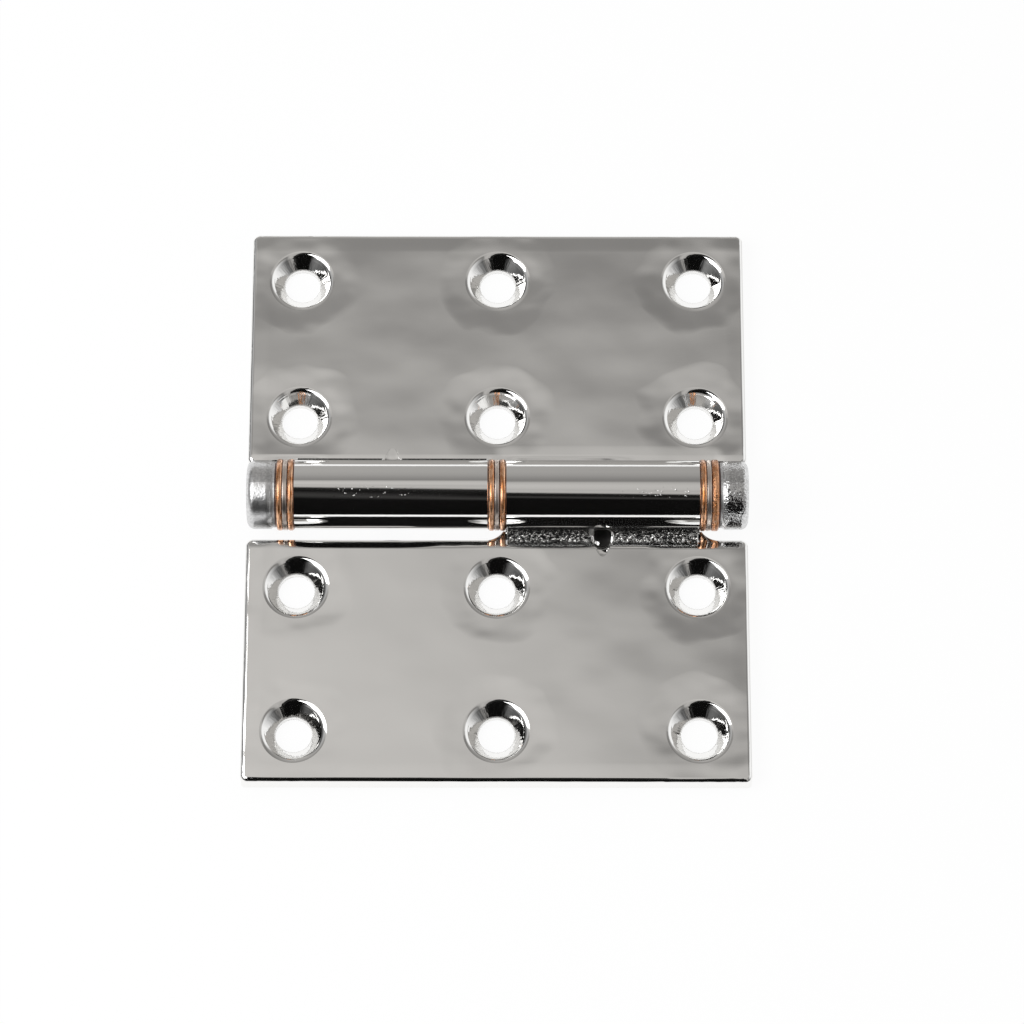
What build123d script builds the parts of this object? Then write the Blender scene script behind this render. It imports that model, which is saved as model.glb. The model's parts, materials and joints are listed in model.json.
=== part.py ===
import os
from math import acos, atan2, cos, hypot, pi, radians, sin, sqrt, tan

from build123d import *

# A friction hinge for a hatch, lying open flat on its back. Millimetres.
# X runs along the barrel, Y towards the rear leaf, Z up. The origin is on the surface that the
# leaves lie on, under the middle of the barrel.

# Leaf plate
leaf_width = 76.2  # along the barrel
leaf_reach = 44.6  # from the barrel's axis to the leaf's outer edge
leaf_thickness = 3.2
inner_edge_reach = 6.05  # from the barrel's axis to the leaf's inner edge
corner_radius_back = 0.6  # corners seen from above, at the back face
corner_radius_top = 1.2  # the same corners at the top, where the polishing wheel wore them rounder
top_edge_rounding = 0.7
back_edge_rounding = 0.3

# Screw holes, for countersunk screws of 5 mm or No 10
screw_hole_radius = 2.75
countersink_radius = 4.6
countersink_angle = 82.0
countersink_rim_rounding = 1.0
screw_columns = 3
screw_rows = 2
screw_side_inset = 7.77  # from the leaf's sides to the outer columns
screw_edge_inset = 7.95  # from the leaf's outer edge to the outer row
first_row_reach = 13.85  # from the barrel's axis to the inner row

# Barrel, which both leaves' knuckles share
barrel_radius = 5.3
barrel_rise = 2.7  # height of the barrel's axis above the leaves' top faces
barrel_end_inset = 0.32  # the barrel's left end stops that far short of the leaf's side
knuckle_edge_chamfer = 0.1
web_hollow_radius = 1.7  # concave corner between the leaf's top face and the barrel
web_flare_radius = 3.0  # concave corner between the web's ends and the leaf's inner edge
web_root_depth = 3.4  # how far the plate's tongue runs in under the barrel

# Hinge pin and its running clearance in the knuckles
hinge_pin_radius = 3.175
pin_clearance = 0.05
pin_end_gap = 0.15  # the pin stops short, so that the caps squeeze the washers
pin_end_chamfer = 0.3

# Friction washers, in three stacks of bronze, steel and bronze
washer_radius = 5.42
bronze_washer_thickness = 1.0
outer_right_washer_thickness = 1.2
steel_washer_thickness = 0.67
steel_washer_inset = 0.05  # the steel washer is that much smaller in radius
washer_bore_clearance = 0.1
washer_relief = 0.2  # the leaves clear the turning washers by that much
bronze_washer_rounding = 0.38
steel_washer_rounding = 0.12

# End caps, each with a stud that screws into the pin
cap_radius = 5.2
cap_length = 4.45
cap_outer_rounding = 1.15
cap_neck_radius = 4.95
cap_neck_length = 0.6
cap_neck_chamfer = 0.18
cap_socket_across_flats = 4.0
cap_socket_depth = 2.5
cap_socket_chamfer = 0.35
stud_radius = 2.0
stud_length = 7.0
stud_clearance = 0.03
stud_hole_extra = 1.2  # the pin's tapped holes run deeper than the studs

# Cross pins in the webs: the rear one runs in a groove of the hinge pin, the front one in a notch
lock_hole_radius = 1.3
lock_pin_clearance = 0.05
lock_offset = 3.87  # from the barrel's axis to the cross hole's axis
lock_tilt = 17.0  # the hole rises that many degrees away from the barrel
lock_hole_start = 0.2  # from its nearest point to the barrel's axis to the hole's inner end
lock_mouth_rounding = 0.35
lock_pin_reach = 3.0  # from that point to the lock pin's outer end
lock_pin_chamfer = 0.25
lock_pin_end_gap = 0.1
lock_groove_side_clearance = 0.1

axis_height = leaf_thickness + barrel_rise
bore_radius = hinge_pin_radius + pin_clearance
full_stack = 2 * bronze_washer_thickness + steel_washer_thickness
knuckle_start = full_stack / 2
knuckle_end = leaf_width / 2 - barrel_end_inset - cap_length - full_stack
knuckle_length = knuckle_end - knuckle_start
knuckle_middle = (knuckle_start + knuckle_end) / 2
screw_column_spacing = (leaf_width - 2 * screw_side_inset) / (screw_columns - 1)
screw_row_spacing = (leaf_reach - screw_edge_inset - first_row_reach) / (screw_rows - 1)
lock_pin_radius = lock_hole_radius - lock_pin_clearance
cut_margin = 2.0  # how far a cutting shape runs past what it cuts


def barrel_line(start, end, radius):
    """A cylinder on the barrel's axis from one X to another."""
    middle = (start + end) / 2
    return Pos(middle, 0, axis_height) * Rot(0, 90, 0) * Cylinder(radius, end - start)


def along_barrel(section, start, end):
    """A section drawn as (Y, Z) points, pulled along the barrel from one X to another."""
    return extrude(Plane.YZ.offset(start) * section, end - start)


def turned_on_barrel(outline, start):
    """A closed outline of (distance from start along X, radius) points, turned about the axis."""
    points = [(start + along, axis_height + radius) for along, radius in outline]
    face = Plane.XZ * make_face(Polyline(*points, close=True))
    return revolve(face, Axis((0, 0, axis_height), (1, 0, 0)))


def leaf_plan(corner_radius):
    """The rear leaf's plate seen from above, with the tongue that carries its knuckle."""
    depth = leaf_reach - inner_edge_reach
    plate = Pos(0, inner_edge_reach + depth / 2) * Rectangle(leaf_width, depth)
    tongue = Pos(-knuckle_middle, inner_edge_reach) * Rectangle(knuckle_length, 2 * web_root_depth)
    plan = plate + tongue
    roots = [v for v in plan.vertices()
             if abs(v.Y - inner_edge_reach) < 0.01 and abs(v.X) < leaf_width / 2 - 0.01]
    plan = fillet(roots, web_flare_radius)
    corners = [v for v in plan.vertices() if abs(abs(v.X) - leaf_width / 2) < 0.01]
    return fillet(corners, corner_radius)


def underside_contact():
    """Where a line from the foot of the inner edge touches the barrel from below, as (Y, Z)."""
    span = hypot(inner_edge_reach, axis_height)
    angle = atan2(-axis_height, inner_edge_reach) - acos(barrel_radius / span)
    return barrel_radius * cos(angle), axis_height + barrel_radius * sin(angle)


def leaf_plate():
    """The plate with its tongue, rounded along its edges, sloped under the tongue and hollowed
    beside it where the washers turn."""
    plans = [leaf_plan(corner_radius_back), Pos(0, 0, leaf_thickness) * leaf_plan(corner_radius_top)]
    plate = loft(plans, ruled=True)
    top_edges = plate.faces().sort_by(Axis.Z)[-1].edges()
    top_edges = [e for e in top_edges if e.center().Y > inner_edge_reach - web_root_depth + 0.01]
    plate = fillet(top_edges, top_edge_rounding)
    back_edges = plate.faces().sort_by(Axis.Z)[0].edges()
    back_edges = [e for e in back_edges if e.center().Y > inner_edge_reach + 0.3]
    plate = fillet(back_edges, back_edge_rounding)
    touch_y, touch_z = underside_contact()
    below = make_face(Polyline(
        (inner_edge_reach, 0), (touch_y, touch_z), (touch_y, -cut_margin),
        (inner_edge_reach, -cut_margin), close=True))
    plate -= along_barrel(below, -leaf_width / 2, leaf_width / 2)
    for start, end in ((-leaf_width / 2, -knuckle_end), (-knuckle_start, leaf_width / 2)):
        plate -= barrel_line(start, end, washer_radius + washer_relief)
    return plate


def web():
    """The bridge from plate to barrel: hollow above, straight below."""
    rise = axis_height - leaf_thickness - web_hollow_radius
    span = barrel_radius + web_hollow_radius
    hollow_y = sqrt(span ** 2 - rise ** 2)
    hollow_z = leaf_thickness + web_hollow_radius
    share = barrel_radius / span
    on_barrel = (hollow_y * share, axis_height + (hollow_z - axis_height) * share)
    half_angle = (atan2(axis_height - hollow_z, hollow_y) + pi / 2) / 2
    between = (hollow_y - web_hollow_radius * sin(half_angle),
               hollow_z - web_hollow_radius * cos(half_angle))
    arc = ThreePointArc((hollow_y, leaf_thickness), between, on_barrel)
    rest = Polyline(on_barrel, (0, axis_height), underside_contact(), (inner_edge_reach, 0),
                    (hollow_y, 0), (hollow_y, leaf_thickness))
    section = make_face(arc + rest)
    return along_barrel(section, -knuckle_end, -knuckle_start)


def knuckle():
    """The round half of the barrel, with its ends' edges broken."""
    barrel = barrel_line(-knuckle_end, -knuckle_start, barrel_radius)
    return chamfer(barrel.edges().filter_by(GeomType.CIRCLE), knuckle_edge_chamfer)


def lock_line(radius, start, end):
    """A cylinder on the rear cross hole's axis; places are counted outwards from its nearest
    point to the barrel's axis."""
    tilt = radians(lock_tilt)
    middle = (start + end) / 2
    y = lock_offset * sin(tilt) + middle * cos(tilt)
    z = axis_height - lock_offset * cos(tilt) + middle * sin(tilt)
    return Pos(-knuckle_middle, y, z) * Rot(lock_tilt - 90, 0, 0) * Cylinder(radius, end - start)


def lock_mouth(leaf):
    """The edges where the cross hole opens in the web and grazes the plate."""
    walls = [f for f in leaf.faces().filter_by(GeomType.CYLINDER)
             if abs((f.radius or 0) - lock_hole_radius) < 0.001]
    edges = [e for wall in walls for e in wall.edges()]
    wall_middle = (bore_radius + barrel_radius) / 2
    return [e for e in edges if e.geom_type not in (GeomType.CIRCLE, GeomType.LINE)
            and e.center().Y > wall_middle]


def countersunk_hole():
    """The cutting shape of one screw hole, on the Z axis."""
    cone_depth = (countersink_radius - screw_hole_radius) / tan(radians(countersink_angle / 2))
    outline = Polyline(
        (0, -cut_margin), (screw_hole_radius, -cut_margin),
        (screw_hole_radius, leaf_thickness - cone_depth), (countersink_radius, leaf_thickness),
        (countersink_radius, leaf_thickness + cut_margin), (0, leaf_thickness + cut_margin),
        close=True)
    return revolve(Plane.XZ * make_face(outline), Axis.Z)


def screw_places():
    """The rear leaf's screw holes, as (X, Y)."""
    for column in range(screw_columns):
        for row in range(screw_rows):
            x = (column - (screw_columns - 1) / 2) * screw_column_spacing
            yield x, first_row_reach + row * screw_row_spacing


def rear_leaf():
    """One casting: plate, web and the left knuckle, bored and drilled."""
    leaf = leaf_plate() + web() + knuckle()
    leaf -= barrel_line(-knuckle_end - cut_margin, -knuckle_start + cut_margin, bore_radius)
    hole = countersunk_hole()
    for x, y in screw_places():
        leaf -= Pos(x, y) * hole
    rims = [e for e in leaf.edges().filter_by(GeomType.CIRCLE)
            if abs(e.radius - countersink_radius) < 0.01 and abs(e.center().Z - leaf_thickness) < 0.01]
    leaf = fillet(rims, countersink_rim_rounding)
    leaf -= lock_line(lock_hole_radius, lock_hole_start, first_row_reach)
    return fillet(lock_mouth(leaf), lock_mouth_rounding)


def half_turn(piece):
    """The same piece on the other leaf."""
    return Rot(0, 0, 180) * piece


def lock_pin():
    """The rear cross pin, with both ends' edges broken."""
    pin = lock_line(lock_pin_radius, lock_hole_start + lock_pin_end_gap, lock_pin_reach)
    return chamfer(pin.edges().filter_by(GeomType.CIRCLE), lock_pin_chamfer)


def washer(start, thickness, radius, rounding):
    """A flat ring with a rounded rim, from one X on."""
    ring = barrel_line(start, start + thickness, radius)
    ring = fillet(ring.edges().filter_by(GeomType.CIRCLE), rounding)
    bore = hinge_pin_radius + washer_bore_clearance
    return ring - barrel_line(start - cut_margin, start + thickness + cut_margin, bore)


def washer_stacks():
    """All nine washers, each with its name, and the X where the last one ends."""
    stacks = [
        (-knuckle_end - full_stack, ["left_outer_bronze_washer", "left_steel_washer",
                                     "left_inner_bronze_washer"]),
        (-knuckle_start, ["centre_left_bronze_washer", "centre_steel_washer",
                          "centre_right_bronze_washer"]),
        (knuckle_end, ["right_inner_bronze_washer", "right_steel_washer",
                       "right_outer_bronze_washer"]),
    ]
    washers = {}
    for start, names in stacks:
        for name in names:
            steel = "steel" in name
            thickness = steel_washer_thickness if steel else bronze_washer_thickness
            if name == "right_outer_bronze_washer":
                thickness = outer_right_washer_thickness
            radius = washer_radius - (steel_washer_inset if steel else 0)
            rounding = steel_washer_rounding if steel else bronze_washer_rounding
            washers[name] = washer(start, thickness, radius, rounding)
            start += thickness
    return washers, start


def end_cap(seat):
    """The right cap: a cap screw that seats at one X, with a hexagon socket in its end."""
    body = turned_on_barrel([
        (0, 0), (0, cap_neck_radius - cap_neck_chamfer), (cap_neck_chamfer, cap_neck_radius),
        (cap_neck_length, cap_neck_radius), (cap_neck_length + cap_radius - cap_neck_radius, cap_radius),
        (cap_length, cap_radius), (cap_length, 0)], seat)
    rim = body.edges().filter_by(GeomType.CIRCLE).sort_by(Axis.X)[-1]
    body = fillet(rim, cap_outer_rounding)
    socket_plane = Plane((seat + cap_length, 0, axis_height), x_dir=(0, 1, 0), z_dir=(-1, 0, 0))
    hexagon = RegularPolygon(cap_socket_across_flats / 2, 6, major_radius=False)
    body -= extrude(socket_plane * hexagon, cap_socket_depth)
    wide = cap_socket_across_flats / sqrt(3) + cap_socket_chamfer / 2
    body -= turned_on_barrel([(0, 0), (0, wide), (-cap_socket_chamfer, wide - cap_socket_chamfer),
                              (-cap_socket_chamfer, 0)], seat + cap_length)
    return body + barrel_line(seat - stud_length, seat + cut_margin / 2, stud_radius)


def hinge_pin(start, end):
    """The pin, tapped at both ends, with a groove and a notch for the two lock pins."""
    pin = barrel_line(start, end, hinge_pin_radius)
    pin = chamfer(pin.edges().filter_by(GeomType.CIRCLE), pin_end_chamfer)
    hole = stud_length + stud_hole_extra
    pin -= barrel_line(start - cut_margin, start + hole, stud_radius + stud_clearance)
    pin -= barrel_line(end - hole, end + cut_margin, stud_radius + stud_clearance)
    groove_bottom = hypot(lock_offset - lock_hole_radius, lock_hole_start)
    half_width = lock_pin_radius + lock_groove_side_clearance
    pin -= turned_on_barrel([(-half_width, groove_bottom), (-half_width, hinge_pin_radius + cut_margin),
                             (half_width, hinge_pin_radius + cut_margin),
                             (half_width, groove_bottom)], -knuckle_middle)
    return pin - half_turn(lock_line(lock_hole_radius, lock_hole_start, 2 * hinge_pin_radius))


def hinge():
    """Every piece of the hinge by name."""
    washers, right_seat = washer_stacks()
    left_seat = -knuckle_end - full_stack
    leaf = rear_leaf()
    lock = lock_pin()
    right_cap = end_cap(right_seat)
    left_cap = half_turn(end_cap(-left_seat))
    pieces = {
        "rear_leaf": leaf,
        "front_leaf": half_turn(leaf),
        "hinge_pin": hinge_pin(left_seat + pin_end_gap, right_seat - pin_end_gap),
        "left_end_cap": left_cap,
        "right_end_cap": right_cap,
        "rear_lock_pin": lock,
        "front_lock_pin": half_turn(lock),
    }
    pieces.update(washers)
    return pieces


os.makedirs("parts", exist_ok=True)
for name, piece in hinge().items():
    export_step(piece, f"parts/{name}.step")
    print(name, round(piece.volume, 2))
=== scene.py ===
import json
import math

import bpy
from mathutils import Matrix, Vector


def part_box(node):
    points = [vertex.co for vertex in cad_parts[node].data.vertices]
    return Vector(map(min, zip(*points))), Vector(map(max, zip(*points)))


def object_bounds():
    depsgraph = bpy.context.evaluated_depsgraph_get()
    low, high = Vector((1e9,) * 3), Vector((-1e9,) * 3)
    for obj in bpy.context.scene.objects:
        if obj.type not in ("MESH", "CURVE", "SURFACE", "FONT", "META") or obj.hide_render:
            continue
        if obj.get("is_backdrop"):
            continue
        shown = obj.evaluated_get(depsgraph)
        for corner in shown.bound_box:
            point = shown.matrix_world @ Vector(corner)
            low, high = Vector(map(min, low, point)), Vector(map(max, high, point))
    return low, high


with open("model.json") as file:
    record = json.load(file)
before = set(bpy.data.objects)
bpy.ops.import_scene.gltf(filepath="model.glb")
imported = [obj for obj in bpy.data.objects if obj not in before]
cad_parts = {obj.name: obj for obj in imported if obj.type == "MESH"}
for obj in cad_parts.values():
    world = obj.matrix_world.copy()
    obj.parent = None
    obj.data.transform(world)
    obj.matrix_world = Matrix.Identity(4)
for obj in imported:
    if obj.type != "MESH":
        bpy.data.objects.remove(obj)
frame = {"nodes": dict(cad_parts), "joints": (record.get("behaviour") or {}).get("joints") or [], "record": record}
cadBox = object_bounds()
print("frame loaded:", len(frame["nodes"]), "pieces")

mm = 0.001
barrelHeight = frame["joints"][0]["pos_m"][2] / mm  # of the barrel's axis over the table
mounts = {mount["name"]: mount for mount in frame["record"]["mounts"]}


# Shader maths as Python expressions

class Wire:
    # one output socket; sums on it add Math nodes
    def __init__(self, shader, socket):
        self.shader = shader
        self.socket = socket

    def maths(self, operation, *terms):
        return self.shader.add("ShaderNodeMath", {"operation": operation}, dict(enumerate(terms)))

    def __add__(self, other):
        return self.maths("ADD", self, other)

    def __radd__(self, other):
        return self.maths("ADD", other, self)

    def __sub__(self, other):
        return self.maths("SUBTRACT", self, other)

    def __rsub__(self, other):
        return self.maths("SUBTRACT", other, self)

    def __mul__(self, other):
        return self.maths("MULTIPLY", self, other)

    def __rmul__(self, other):
        return self.maths("MULTIPLY", other, self)

    def __truediv__(self, other):
        return self.maths("DIVIDE", self, other)

    def __rtruediv__(self, other):
        return self.maths("DIVIDE", other, self)

    def __pow__(self, power):
        return self.maths("POWER", self, power)

    def __rpow__(self, base):
        return self.maths("POWER", base, self)

    def __abs__(self):
        return self.maths("ABSOLUTE", self)

    def __round__(self):
        return self.maths("ROUND", self)

    def atLeast(self, other):
        return self.maths("MAXIMUM", self, other)

    def atMost(self, other):
        return self.maths("MINIMUM", self, other)

    def output(self, name):
        return Wire(self.shader, self.socket.node.outputs[name])


class Shader:
    # the node tree of one material or of the world
    def __init__(self, owner):
        owner.use_nodes = True
        self.tree = owner.node_tree
        self.tree.nodes.clear()

    def add(self, kind, settings, inputs, output=0):
        node = self.tree.nodes.new(kind)
        for name, value in settings.items():
            if name == "stops":
                self.setStops(node.color_ramp, value)
            else:
                setattr(node, name, value)
        for name, value in inputs.items():
            if isinstance(value, Wire):
                self.tree.links.new(value.socket, node.inputs[name])
            else:
                node.inputs[name].default_value = value
        return Wire(self, node.outputs[output]) if node.outputs else node

    def setStops(self, ramp, stops):
        while len(ramp.elements) < len(stops):
            ramp.elements.new(1)
        for element, (position, colour) in zip(ramp.elements, stops):
            element.position = position
            element.color = (*colour, 1)

    def place(self):
        # where a point lies on the piece, in millimetres
        spot = self.add("ShaderNodeTexCoord", {}, {}, "Object")
        return self.add("ShaderNodeVectorMath", {"operation": "SCALE"}, {0: spot, "Scale": 1 / mm})

    def axes(self, vector):
        x = self.add("ShaderNodeSeparateXYZ", {}, {0: vector})
        return x, x.output("Y"), x.output("Z")

    def stretched(self, vector, scale, shift=(0, 0, 0)):
        scaled = self.add("ShaderNodeVectorMath", {"operation": "MULTIPLY"}, {0: vector, 1: scale})
        return self.add("ShaderNodeVectorMath", {"operation": "ADD"}, {0: scaled, 1: shift})

    def noise(self, vector, size, detail=2, roughness=0.5):
        return self.add("ShaderNodeTexNoise", {}, {
            "Vector": vector, "Scale": 1 / size, "Detail": detail, "Roughness": roughness})

    def step(self, value, low, high):
        # 0 below low, 1 above high, smooth between
        return self.add("ShaderNodeMapRange", {"interpolation_type": "SMOOTHSTEP"}, {
            "Value": value, "From Min": low, "From Max": high})

    def fade(self, value, low, high):
        # 1 below low, 0 above high, smooth between
        return 1 - self.step(value, low, high)

    def ramp(self, value, stops):
        return self.add("ShaderNodeValToRGB", {"stops": stops}, {0: value})

    def blend(self, share, first, second):
        return self.add("ShaderNodeMix", {"data_type": "RGBA"}, {0: share, 6: first, 7: second}, 2)

    def bump(self, height):
        # height is in millimetres
        return self.add("ShaderNodeBump", {}, {"Height": height, "Distance": mm, "Strength": 1})

    def metal(self, colour, roughness, normal, **others):
        surface = self.add("ShaderNodeBsdfPrincipled", {}, {
            "Base Color": colour, "Metallic": 1, "Roughness": roughness, "Normal": normal, **others})
        self.add("ShaderNodeOutputMaterial", {}, {"Surface": surface})


def newMaterial(name):
    material = bpy.data.materials.new(name)
    return material, Shader(material)


def grey(level):
    return (level, level, level, 1)


def beyond(start, pair):
    # a pair of distances counted from start
    return start + pair[0], start + pair[1]


def dress(material, *names):
    for name in names:
        piece = frame["nodes"][name]
        piece.data.materials.clear()
        piece.data.materials.append(material)


# The two polished castings

# Sizes are in millimetres. Away is the distance from the barrel's axis, towards the leaf's outer
# edge. A pair is where something starts to change and where it has changed.
casting = {
    "polished": (0.93, 0.925, 0.912, 1),
    "polishRoughness": 0.05,
    "hazeSize": 9,
    "hazeLevel": 0.4,  # of the noise that neither adds haze nor takes it away
    "haze": 0.05,
    "scratchStretch": (1, 9, 1),
    "scratchSize": 0.7,
    "scratchHeight": 0.0005,

    # the plate's top
    "leafTop": 3.2,
    "plateTop": (3.3, 3.6),  # what is higher belongs to the knuckle
    "waveStretch": (1, 1.25, 0.2),
    "rippleSize": 13,  # long waves left by the polishing wheel
    "rippleHeight": 0.16,
    "dimpleSize": 4.5,
    "dimpleHeight": 0.007,
    "moatReach": (4.3, 9.2),  # the polish dips round each countersink, that far from its centre
    "moatDepth": 0.10,
    "moatWander": 4,  # how much that reach strays
    "moatWanderSize": 7,
    "edgeWidth": 3,
    "edgeDepth": 0.05,
    "edgeBand": (0.03, 0.3),  # painted dark line along the edges, standing for the dark their rounding reflects
    "edgeTop": (2.8, 3.0),
    "edgeShadeShare": 0.85,
    "paintedEdgeShade": (0.22, 0.215, 0.21, 1),

    # its inner edge, which is worn round
    "innerEdge": 6.05,
    "rollBand": (0.1, 1.7),  # from the inner edge
    "rollDepth": 0.34,
    "rollLeast": 0.35,  # strength between the stretches that were rolled over
    "rollCore": 0.4,  # share of such a stretch that has its full strength
    "sagWidth": 3.2,
    "sagFade": 2,
    "tongueClear": 9,  # the tongue under the web is no edge, so it counts as that far from one

    # the ground back
    "backFace": (0.02, 0.1),
    "backRoughness": 0.2,
    "backStretch": (0.1, 4, 0),
    "backLineSize": 0.5,
    "backLines": 0.003,

    # countersinks, by the distance from the hole's axis
    "cone": (4, 4.4),
    "coneEdge": 4.2,
    "flatter": 0.06,  # how much less the cone seems to rise per mm than it does
    "chatter": 0.03,  # height of the streaks that run down the cone
    "streakTurns": 9,
    "streakLength": 0.6,
    "streakShifts": (5, 0.05),  # make each column and each row different
    "land": (2.8, 2.95),  # the hole's straight part
    "landRoughness": 0.4,

    # the web between plate and barrel, left as it came from the mould
    "webTop": (4.5, 4.8),
    "webFoot": (6.97, 7.05),  # where the web's hollow meets the plate
    "webLow": (2.7, 2.9),
    "webEnds": (14.3, 14.5),  # from the web's middle
    "asCast": (0.85, 0.84, 0.82, 1),
    "asCastRoughness": 0.09,
    # painted shade: the crevices between the grains are coloured nearly black
    "paintedCreviceShade": (0.09, 0.09, 0.087, 1),
    "grainSize": 0.42,
    "grainHeight": 0.5,
    "glintGrain": (0.44, 0.57),  # grains above that are painted bright, as glints; those below get the painted crevice shade
    # painted shade: the bright grains fade out towards the web's foot and near its top, where it meets the barrel
    "footShadeFade": (6.3, 6.7),
    "topShadeFade": (-1.5, -0.6),  # from the barrel's axis

    # the hole drilled across the web, with its mouth, and the burrs beside it
    "crossHoleRadius": 1.3,
    "crossHoleTilt": 17,
    # painted shade: the bore's inside is coloured dark, standing for the shade in the hole
    "drilled": (0.16, 0.155, 0.15, 1),
    "drilledRoughness": 0.3,
    "boreEdge": (0.04, 0.1),  # beyond the radius
    "mouthEdge": (0.3, 0.5),
    "mouthShadeTop": (0.7, 0.9),  # the mouth is painted dark, as shade, from that far over the hole's axis
    "boreReach": (6.75, 7.25),
    "burrRadius": 0.47,
    "burrCore": 0.7,  # share of the radius before the burr fades
    "burrTop": (5.1, 5.5),
    "burrLean": 0.75,  # slope away from the barrel, per slope along it
    "burrRoughness": 0.25,

    # the round of the knuckle
    "knuckleFade": (0, 0.3),  # from the barrel's axis upwards
    "hollowLine": -1.9,
    "hollowHalf": 2.4,
    "speckLine": -1.45,
    "speckBand": (0.3, 1),
    "speckSpread": (3, 7),
    "patchSize": 1.1,
    "patchEdge": (0.42, 0.6),
    "speckSize": 0.26,
    "speckLevel": 0.69,
    "speckHeight": 0.3,
}

# What the hand polishing did to each leaf: a twist of the plate, a hollow along the knuckle, how
# far it wore the cross hole's scoop flat, the x round which casting specks were left, polished
# burrs beside the cross hole as (beside, away, slope), the stretches of the inner edge that it
# rolled over as (middle, half length, strength) along x, and long sags of that edge as (middle,
# half length, depth). The noise shift makes the waves differ.
handwork = {
    "rear": {
        "turn": 1,
        "noiseShift": (30, 60, 0),
        "twist": 0,
        "knuckleHollow": 0.16,
        "scoopWorn": 1,
        "specks": -18.5,
        "burrs": [],
        "rolled": [(10, 14, 0.8), (-31, 6, 0.7)],
        "sags": [(17, 18, 0.1)],
    },
    "front": {
        "turn": -1,
        "noiseShift": (110, 220, 0),
        "twist": -0.0011,
        "knuckleHollow": 0,
        "scoopWorn": 0.65,
        "specks": 25,
        "burrs": [(0.82, 6.58, 0.92), (1.65, 5.4, 0.69)],
        "rolled": [(-21, 13, 1.0), (8.3, 8, 0.8), (28, 6, 0.9)],
        "sags": [],
    },
}


def leafLayout(leaf):
    # screw places and the plate's reach, from the frame
    corner = mounts[leaf + "_corner_screws"]
    low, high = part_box(leaf + "_leaf")
    pinLow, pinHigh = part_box(leaf + "_lock_pin")
    return {
        "columns": corner["dims"]["spacing_x_mm"] / 2,
        "rows": corner["dims"]["spacing_y_mm"],
        "middle": abs(corner["pos_m"][1]) / mm,
        "halfWidth": high.x / mm,
        "reach": max(high.y, -low.y) / mm,
        "pin": (pinLow + pinHigh) / 2 / mm,
    }


def holePlace(shader, lay, x, away):
    # distance from the nearest screw hole's axis, and a place that unrolls its countersink
    column = round(x / lay["columns"])
    fromColumn = x - column * lay["columns"]
    fromRow = abs(away - lay["middle"]) - lay["rows"] / 2
    fromHole = (fromColumn * fromColumn + fromRow * fromRow) ** 0.5
    around = fromRow.maths("ARCTAN2", fromRow, fromColumn)
    byColumn, byRow = casting["streakShifts"]
    unrolled = shader.add("ShaderNodeCombineXYZ", {}, {
        0: around * casting["streakTurns"],
        1: fromHole * casting["streakLength"],
        2: column * byColumn + away * byRow})
    return fromHole, unrolled


def plateWaves(shader, leaf, lay, x, away, place, fromHole):
    # height of the polished top over a true plane
    look = casting
    hand = handwork[leaf]
    shifted = shader.stretched(place, look["waveStretch"], hand["noiseShift"])
    ripple = shader.noise(shifted, look["rippleSize"], 1, 0.35) * look["rippleHeight"]
    dimple = shader.noise(shifted, look["dimpleSize"], 1) * look["dimpleHeight"]
    wander = (shader.noise(shifted, look["moatWanderSize"], 1) - 0.5) * look["moatWander"]
    moat = shader.fade(fromHole + wander, *look["moatReach"]) * look["moatDepth"]
    rollOff = shader.fade(lay["reach"] - away, 0, look["edgeWidth"])
    rollOff = rollOff + shader.fade(lay["halfWidth"] - abs(x), 0, look["edgeWidth"])
    twist = x * away * (hand["twist"] * hand["turn"])
    return ripple + dimple + twist - moat - rollOff * look["edgeDepth"]


def innerRoll(shader, leaf, x, away):
    # the worn inner edge, deepest in the middle of each rolled stretch
    look = casting
    strength = look["rollLeast"]
    for middle, half, most in handwork[leaf]["rolled"]:
        strength = strength + shader.fade(abs(x - middle), half * look["rollCore"], half) * most
    rolled = shader.fade(away, *beyond(look["innerEdge"], look["rollBand"]))
    depth = rolled * strength * (look["rollDepth"] / (1 + look["rollLeast"]))
    for middle, half, most in handwork[leaf]["sags"]:
        sag = shader.fade(abs(x - middle), half - look["sagFade"], half) * most
        depth = depth + sag * shader.fade(away, *beyond(look["innerEdge"], (0, look["sagWidth"])))
    return depth


def webAsCast(shader, beside, away, z, onKnuckle):
    # the web's surface, and all that lies between its ends
    look = casting
    between = shader.fade(abs(beside), *look["webEnds"])
    inY = shader.step(away, *look["webTop"]) * shader.fade(away, *look["webFoot"])
    inZ = shader.step(z, *look["webLow"]) * (1 - onKnuckle)
    return inY * inZ * between, between


def crossHole(shader, lay, turn, beside, away, z):
    # height over the drilled hole's slanting axis, its bore and its mouth
    look = casting
    tilt = math.radians(look["crossHoleTilt"])
    above = (z - lay["pin"].z) * math.cos(tilt) - (away - lay["pin"].y * turn) * math.sin(tilt)
    fromAxis = (above * above + beside * beside) ** 0.5
    bore = shader.fade(fromAxis, *beyond(look["crossHoleRadius"], look["boreEdge"]))
    mouth = shader.fade(fromAxis, *beyond(look["crossHoleRadius"], look["mouthEdge"]))
    return above, bore, mouth


def polishedBurrs(shader, leaf, beside, away, z):
    # where they are, and their height
    look = casting
    burred, height = 0, 0
    for aside, along, slope in handwork[leaf]["burrs"]:
        fromBurr = ((beside - aside) ** 2 + (away - along) ** 2) ** 0.5
        there = shader.fade(fromBurr, look["burrRadius"] * look["burrCore"], look["burrRadius"])
        there = there * shader.fade(z, *look["burrTop"])
        burred = there + burred
        rise = (aside - beside) * slope + (along - away) * slope * look["burrLean"]
        height = there * rise + height
    return burred, height


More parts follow.
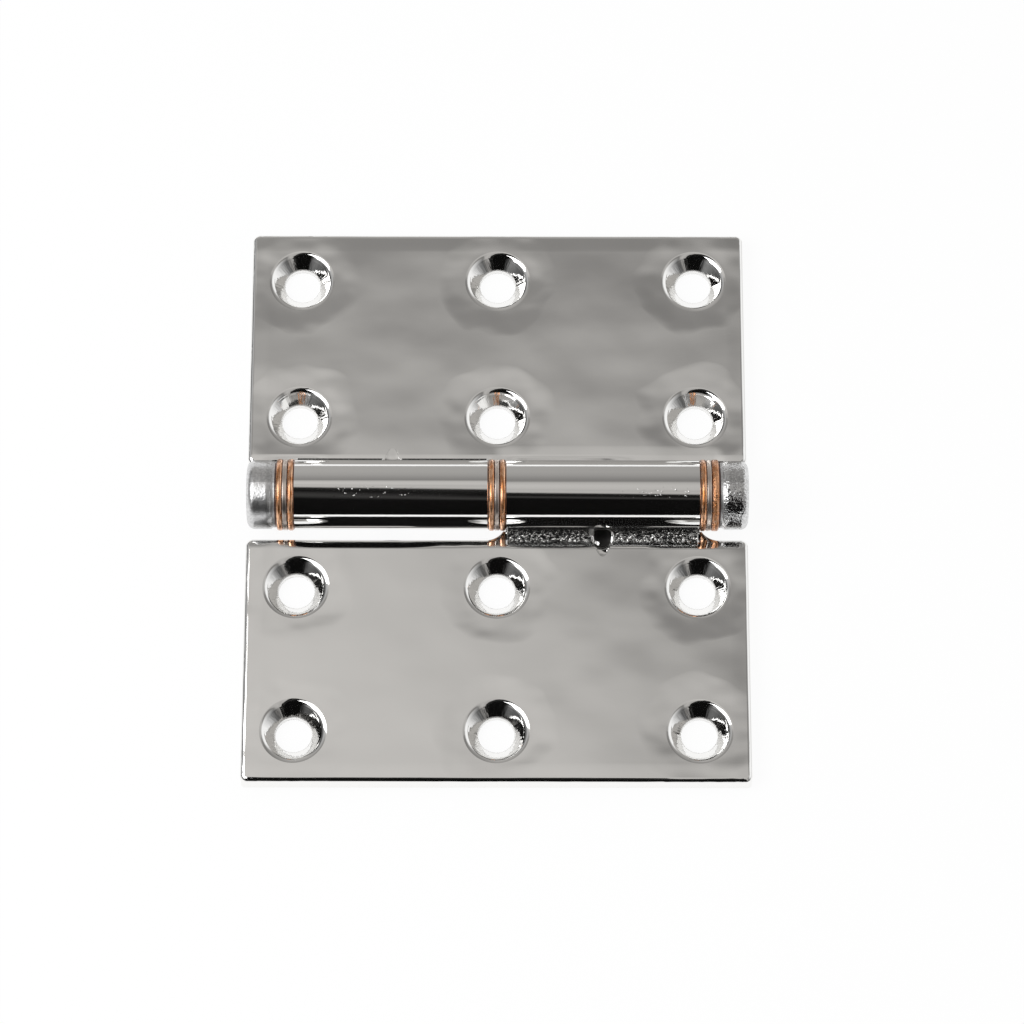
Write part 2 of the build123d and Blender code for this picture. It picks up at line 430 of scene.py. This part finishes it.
def knuckleRelief(shader, leaf, place, x, y):
    # a polished hollow along the knuckle, and specks of the casting in patches
    look = casting
    hand = handwork[leaf]
    hollow = shader.fade(abs(y - look["hollowLine"]), 0, look["hollowHalf"]) * hand["knuckleHollow"]
    patches = shader.fade(abs(x - hand["specks"]), *look["speckSpread"])
    patches = patches * shader.fade(abs(y - look["speckLine"]), *look["speckBand"])
    patches = patches * shader.step(shader.noise(place, look["patchSize"], 0), *look["patchEdge"])
    pits = shader.noise(place, look["speckSize"], 0)
    specks = (pits.atLeast(look["speckLevel"]) - look["speckLevel"]) * patches
    return specks * look["speckHeight"] - hollow


def paintedEdgeShade(shader, lay, x, away, z, between):
    # a narrow painted dark line along the plate's outer and inner edges, standing for the dark that their rounding
    # reflects
    look = casting
    toOuter = (lay["reach"] - away).atMost(lay["halfWidth"] - abs(x))
    toEdge = toOuter.atMost(away - look["innerEdge"] + between * look["tongueClear"])
    return shader.fade(toEdge, *look["edgeBand"]) * shader.step(z, *look["edgeTop"]) * look["edgeShadeShare"]


def castingMaterial(leaf):
    look = casting
    turn = handwork[leaf]["turn"]
    lay = leafLayout(leaf)
    material, shader = newMaterial("polished casting " + leaf)
    place = shader.place()
    x, y, z = shader.axes(place)
    away = y * turn
    beside = x * turn - lay["pin"].x * turn  # from the web's middle

    onPlate = shader.fade(z, *look["plateTop"])
    onBack = shader.fade(z, *look["backFace"])
    onKnuckle = shader.step(z, *beyond(barrelHeight, look["knuckleFade"]))
    web, between = webAsCast(shader, beside, away, z, onKnuckle)
    above, bore, mouth = crossHole(shader, lay, turn, beside, away, z)
    burred, burrs = polishedBurrs(shader, leaf, beside, away, z)
    rough = web * (1 - mouth) * (1 - burred)
    # painted shade: the bore and the upper half of its mouth are coloured dark, as the shade in the hole
    paintedMouthShade = mouth * shader.step(above, *look["mouthShadeTop"])
    paintedHoleShade = (bore * shader.fade(away, *look["boreReach"])).atLeast(paintedMouthShade) * (1 - burred)
    fromHole, unrolled = holePlace(shader, lay, x, away)
    inCone = shader.fade(fromHole, *look["cone"])
    inLand = shader.fade(fromHole, *look["land"])

    pebbles = shader.noise(place, look["grainSize"], 1.5, 0.6)
    # painted glints on the higher grains, and painted shade in the crevices, at the web's foot and near the barrel
    paintedGlintShare = shader.step(pebbles, *look["glintGrain"]) * shader.fade(away, *look["footShadeFade"])
    paintedGlintShare = paintedGlintShare * shader.fade(z, *beyond(barrelHeight, look["topShadeFade"]))
    colour = shader.blend(rough, look["polished"], shader.blend(paintedGlintShare, look["paintedCreviceShade"], look["asCast"]))
    colour = shader.blend(paintedHoleShade, colour, look["drilled"])
    # painted reflection: a dark line along the plate's edges
    edge = paintedEdgeShade(shader, lay, x, away, z, between) * onPlate
    colour = shader.blend(edge, colour, look["paintedEdgeShade"])

    haze = (shader.noise(place, look["hazeSize"], 3) - look["hazeLevel"]) * look["haze"]
    roughness = (look["polishRoughness"] + haze) * (1 - rough) + look["asCastRoughness"] * rough
    roughness = roughness + paintedHoleShade * look["drilledRoughness"] + burred * look["burrRoughness"]
    roughness = roughness + inLand * onPlate * look["landRoughness"] + onBack * look["backRoughness"]

    waves = plateWaves(shader, leaf, lay, x, away, place, fromHole) - innerRoll(shader, leaf, x, away)
    streaks = shader.noise(unrolled, 1, 2) * look["chatter"]
    streaks = (streaks + (look["coneEdge"] - fromHole) * look["flatter"]) * inCone
    scoop = (look["leafTop"] - z).atLeast(0) * mouth * handwork[leaf]["scoopWorn"]
    height = (waves + streaks + scoop) * (onPlate - onBack)
    height = height + pebbles * look["grainHeight"] * rough + burrs
    height = height + knuckleRelief(shader, leaf, place, x, y) * onKnuckle
    scratches = shader.noise(shader.stretched(place, look["scratchStretch"]), look["scratchSize"], 2)
    ground = shader.noise(shader.stretched(place, look["backStretch"]), look["backLineSize"], 2)
    height = height + scratches * look["scratchHeight"] + ground * (onBack * look["backLines"])
    shader.metal(colour, roughness, shader.bump(height))
    return material


for leaf in handwork:
    dress(castingMaterial(leaf), leaf + "_leaf")
print("castings polished")


# Washers

bronze = {
    "bright": (0.95, 0.56, 0.34, 1),
    "dull": (0.55, 0.21, 0.07, 1),
    "streakStretch": (9, 1, 1),
    "streakSize": 2.4,
    "streakHeight": 0.03,
    "patchSize": 1.1,
    "toneEdge": (0.38, 0.62),
    "seamDark": (0.16, 0.05, 0.025, 1),  # darker in the seams between the washers
    "seamBand": (-0.12, 0.02),  # from the washer's side
    "seamRagged": 0.08,
    "roughness": 0.21,
    "patchRoughness": 0.15,
    "crown": 0.12,  # how much rounder the rim is than a plain radius, in mm per square mm
    "slopes": (0.34, 0.1),  # the rim falls off by that much per mm to the left and right
    "oil": {"Coat Weight": 0.35, "Coat IOR": 1.8, "Coat Roughness": 0.12},
    "pitSize": 0.5,
    "pitHeight": 0.24,
    "pitShade": 0.55,
}

steel = {
    "washer steel": {
        "bright": (0.86, 0.76, 0.69), "roughness": 0.26, "marksStretch": (7, 1, 1), "marksSize": 0.9,
        "marksHeight": 0.01},
    "turned steel": {
        "bright": (0.66, 0.65, 0.63), "roughness": 0.2, "marksStretch": (9, 1, 1), "marksSize": 0.7,
        "marksHeight": 0.006},
    "dulling": 0.75,
    "cloudSize": 3,
    "cloudRoughness": 0.12,
    "toneEdge": (0.35, 0.65),
}


def acrossWasher(shader, name, place):
    # distance along the barrel from a washer's middle, and half its thickness
    low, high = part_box(name)
    x = shader.axes(place)[0]
    return x - (low.x + high.x) / 2 / mm, (high.x - low.x) / 2 / mm


def bronzeMaterial(name, pitted):
    look = bronze
    material, shader = newMaterial(name.replace("_", " "))
    place = shader.place()
    aside, half = acrossWasher(shader, name, place)
    streaks = shader.noise(shader.stretched(place, look["streakStretch"]), look["streakSize"], 3)
    patches = shader.noise(place, look["patchSize"], 3, 0.6)
    share = shader.step(streaks * 0.6 + patches * 0.4, *look["toneEdge"])
    share = share * (look["pitShade"] if pitted else 1)
    colour = shader.blend(share, look["dull"], look["bright"])
    seam = shader.step(abs(aside) + patches * look["seamRagged"], *beyond(half, look["seamBand"]))
    colour = shader.blend(seam, colour, look["seamDark"])
    leftSlope, rightSlope = look["slopes"]
    height = streaks * look["streakHeight"] - aside * aside * look["crown"]
    height = height + (aside * leftSlope).atMost(aside * -rightSlope)
    if pitted:
        height = height + shader.noise(place, look["pitSize"], 3, 0.65) * look["pitHeight"]
    roughness = look["roughness"] + patches * look["patchRoughness"]
    shader.metal(colour, roughness, shader.bump(height), **look["oil"])
    return material


def steelMaterial(name):
    # turning marks run round the barrel
    look = steel[name]
    material, shader = newMaterial(name)
    place = shader.place()
    marks = shader.noise(shader.stretched(place, look["marksStretch"]), look["marksSize"], 3, 0.6)
    cloud = shader.noise(place, steel["cloudSize"], 2)
    share = shader.step(marks * 0.5 + cloud * 0.5, *steel["toneEdge"])
    dull = [level * steel["dulling"] for level in look["bright"]]
    colour = shader.blend(share, (*dull, 1), (*look["bright"], 1))
    roughness = look["roughness"] + cloud * steel["cloudRoughness"]
    shader.metal(colour, roughness, shader.bump(marks * look["marksHeight"]))
    return material


for name in frame["nodes"]:
    if "bronze" in name:
        dress(bronzeMaterial(name, name == "right_outer_bronze_washer"), name)
dress(steelMaterial("washer steel"), *[name for name in frame["nodes"] if "steel" in name])
print("washers coloured")


# Caps and pins

cap = {
    "length": 4.45,  # from the seat on the washers to the outer end
    "blasted": 0.68,
    "shades": (0.8, 1.15),  # of the blasted grey
    "toneEdge": (0.3, 0.7),
    "roughness": {"left": 0.26, "right": 0.08},
    "cloudSize": 2.5,
    "cloudRoughness": 0.1,
    "beadSize": 0.34,
    "beadHeight": {"left": 0.025, "right": 0.1},
    "taper": {"left": 0.1, "right": 0},
    "neckLength": 0.62,
    "neckFade": (-0.12, 0.08),  # from the neck's end
    "neckRoughness": 0.42,
    "shoulder": 0.25,  # rise from neck to body, which the blasting rounded
    "shoulderRound": (-0.3, 0.9),
}


def capMaterial(side):
    look = cap
    low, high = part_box(side + "_end_cap")
    seat = max(high.x, -low.x) / mm - look["length"]
    material, shader = newMaterial("blasted steel " + side)
    place = shader.place()
    along = abs(shader.axes(place)[0]) - seat
    neck = look["neckLength"]
    blasted = shader.step(along, *beyond(neck, look["neckFade"]))
    beads = shader.noise(place, look["beadSize"], 1, 0.6)
    cloud = shader.noise(place, look["cloudSize"], 2)
    share = shader.step(beads * 0.6 + cloud * 0.4, *look["toneEdge"])
    darker, lighter = [grey(look["blasted"] * shade) for shade in look["shades"]]
    colour = shader.blend(share, darker, lighter)
    duller = look["roughness"][side] - look["neckRoughness"]
    roughness = look["neckRoughness"] + (duller + cloud * look["cloudRoughness"]) * blasted
    plainStep = shader.add("ShaderNodeMapRange", {}, {
        "Value": along, "From Min": neck, "From Max": neck + look["shoulder"]})
    rounded = (shader.step(along, *beyond(neck, look["shoulderRound"])) - plainStep) * look["shoulder"]
    height = beads * blasted * look["beadHeight"][side] + rounded - along * look["taper"][side]
    shader.metal(colour, roughness, shader.bump(height))
    return material


for side in ("left", "right"):
    dress(capMaterial(side), side + "_end_cap")
dress(steelMaterial("turned steel"), "hinge_pin", "rear_lock_pin", "front_lock_pin")
print("caps and pins finished")


# White table, studio light and camera

# A level is a brightness. Left, right, up and so on are parts of a direction, from -1 to 1.
studio = {
    "tableSize": 24,  # metres
    "tableGlow": 0.93,
    "plainLevel": 0.65,  # what matt surfaces are lit by
    "screenTint": (1, 0.975, 0.945),
    "screenSlant": 119,  # degrees that the front half of the screen leans over, per unit to the left
    "slantStart": (-0.2, 0.1),  # radians from the zenith
    "leftGain": 1.2,  # the screen is that much brighter per unit towards the left
    "gainReach": 0.1,
    "leftLow": 0.06,
    "leftHigh": 0.42,
    "leftRise": (0.05, 0.7),  # upwards, from low to high
    "leftEdge": (0.4, 0.7),  # from the screen to the left end
    "rightLight": 1.1,
    "rightRise": (-0.85, 0.25),  # from front to rear
    "rightEdge": (0.4, 0.75),
    "softboxPower": 1.6,
    "softboxSize": (0.42, 0.4),
    "softboxReach": 0.6,
    "softboxDirection": (-0.598, -0.145, 0.788),
}

# brightness of the screen overhead by its angle from the zenith, in degrees towards the camera
screenLevels = [
    (-90, 0.378), (-62, 0.375), (-48, 0.335), (-37, 0.27), (-29.5, 0.228), (-25.5, 0.25), (-22, 0.39),
    (-20, 0.455), (-17, 0.485), (-10, 0.535), (-2, 0.51), (3, 0.445), (9, 0.50), (12, 0.42), (14.5, 0.02),
    (22, 0.004), (27, 0.045), (32, 0.004), (90, 0.003)]


def whiteTable():
    half = studio["tableSize"] / 2
    mesh = bpy.data.meshes.new("table")
    corners = [(-half, -half, 0), (half, -half, 0), (half, half, 0), (-half, half, 0)]
    mesh.from_pydata(corners, [], [(0, 1, 2, 3)])
    table = bpy.data.objects.new("table", mesh)
    bpy.context.scene.collection.objects.link(table)
    material, shader = newMaterial("white table")
    rays = shader.add("ShaderNodeLightPath", {}, {})
    seen = rays.output("Is Camera Ray").atLeast(rays.output("Is Glossy Ray"))
    seen = seen.atLeast(rays.output("Is Transmission Ray"))
    matt = shader.add("ShaderNodeBsdfDiffuse", {}, {"Color": grey(1)})
    glow = shader.add("ShaderNodeEmission", {}, {"Color": grey(1), "Strength": 1})
    surface = shader.add("ShaderNodeMixShader", {}, {0: seen * studio["tableGlow"], 1: matt, 2: glow})
    shader.add("ShaderNodeOutputMaterial", {}, {"Surface": surface})
    mesh.materials.append(material)
    table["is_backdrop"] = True


def studioWorld():
    # grey screen overhead and behind, darkness on the photographer's side, bright right end
    world = bpy.data.worlds.new("studio")
    bpy.context.scene.world = world
    shader = Shader(world)
    direction = shader.add("ShaderNodeTexCoord", {}, {}, "Generated")
    x, y, z = shader.axes(direction)
    lean = y.maths("ARCTAN2", -1 * y, z)
    slant = math.radians(studio["screenSlant"]) * shader.step(lean, *studio["slantStart"])
    lean = lean - x * slant
    stops = []
    for angle, level in screenLevels:
        stops.append((angle / 180 + 0.5, [level * tint for tint in studio["screenTint"]]))
    screen = shader.ramp(lean / math.pi + 0.5, stops)
    nearMiddle = x.atLeast(-studio["gainReach"]).atMost(studio["gainReach"])
    gain = 1 - nearMiddle * studio["leftGain"]
    leftMore = studio["leftHigh"] - studio["leftLow"]
    left = studio["leftLow"] + shader.step(z, *studio["leftRise"]) * leftMore
    leftGrey = shader.add("ShaderNodeCombineColor", {}, {0: left, 1: left, 2: left})
    screen = shader.blend(shader.step(-1 * x, *studio["leftEdge"]), screen, leftGrey)
    right = shader.step(y, *studio["rightRise"]) * studio["rightLight"]
    rightGrey = shader.add("ShaderNodeCombineColor", {}, {0: right, 1: right, 2: right})
    screen = shader.blend(shader.step(x, *studio["rightEdge"]), screen, rightGrey)
    mirrored = shader.add("ShaderNodeLightPath", {}, {}, "Is Glossy Ray")
    colour = shader.blend(mirrored, grey(studio["plainLevel"]), screen)
    strength = 1 + (gain - 1) * mirrored
    light = shader.add("ShaderNodeBackground", {}, {"Color": colour, "Strength": strength})
    shader.add("ShaderNodeOutputWorld", {}, {"Surface": light})


def softbox():
    # lamp at the left, leaning a little towards the camera
    lamp = bpy.data.lights.new("softbox", "AREA")
    lamp.shape = "RECTANGLE"
    lamp.size, lamp.size_y = studio["softboxSize"]
    lamp.energy = studio["softboxPower"]
    box = bpy.data.objects.new("softbox", lamp)
    direction = Vector(studio["softboxDirection"]).normalized()
    box.location = direction * studio["softboxReach"]
    box.rotation_euler = direction.to_track_quat("Z", "Y").to_euler()
    bpy.context.scene.collection.objects.link(box)


view = {
    "imageSide": 1024,
    "focalPixels": 4301,
    "tilt": 21.06,  # degrees from straight down
    "roll": -0.0965,
    "distance": 654.1,
    "centrePixel": (497.06, 501.54),  # where the barrel's middle, at the leaves' top, shows
    "sensorWidth": 36,
    "nearest": 0.01,  # metres
    "farthest": 100,
}


def aimCamera():
    tilt, roll = math.radians(view["tilt"]), math.radians(view["roll"])
    right = Vector((1, 0, 0))
    up = Vector((0, math.cos(tilt), math.sin(tilt)))
    back = Vector((0, -math.sin(tilt), math.cos(tilt)))
    half = view["imageSide"] / 2
    perPixel = view["distance"] / view["focalPixels"]
    shiftX = (view["centrePixel"][0] - half) * perPixel
    shiftY = (half - view["centrePixel"][1]) * perPixel
    cameraRight = right * math.cos(roll) - up * math.sin(roll)
    cameraUp = right * math.sin(roll) + up * math.cos(roll)
    spot = back * view["distance"] - cameraRight * shiftX - cameraUp * shiftY
    spot += Vector((0, 0, casting["leafTop"]))
    data = bpy.data.cameras.new("camera")
    data.sensor_width = view["sensorWidth"]
    data.lens = view["sensorWidth"] * view["focalPixels"] / view["imageSide"]
    data.clip_start = view["nearest"]
    data.clip_end = view["farthest"]
    camera = bpy.data.objects.new("camera", data)
    turn = Matrix((cameraRight, cameraUp, back)).transposed()
    camera.matrix_world = Matrix.Translation(spot * mm) @ turn.to_4x4()
    bpy.context.scene.collection.objects.link(camera)
    bpy.context.scene.camera = camera


whiteTable()
studioWorld()
softbox()
aimCamera()
bpy.context.scene.view_settings.view_transform = "Standard"
print("studio set up")


def plainBox(box):
    return [[round(value, 6) for value in corner] for corner in box]


{"cad": plainBox(cadBox), "visual": plainBox(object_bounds())}
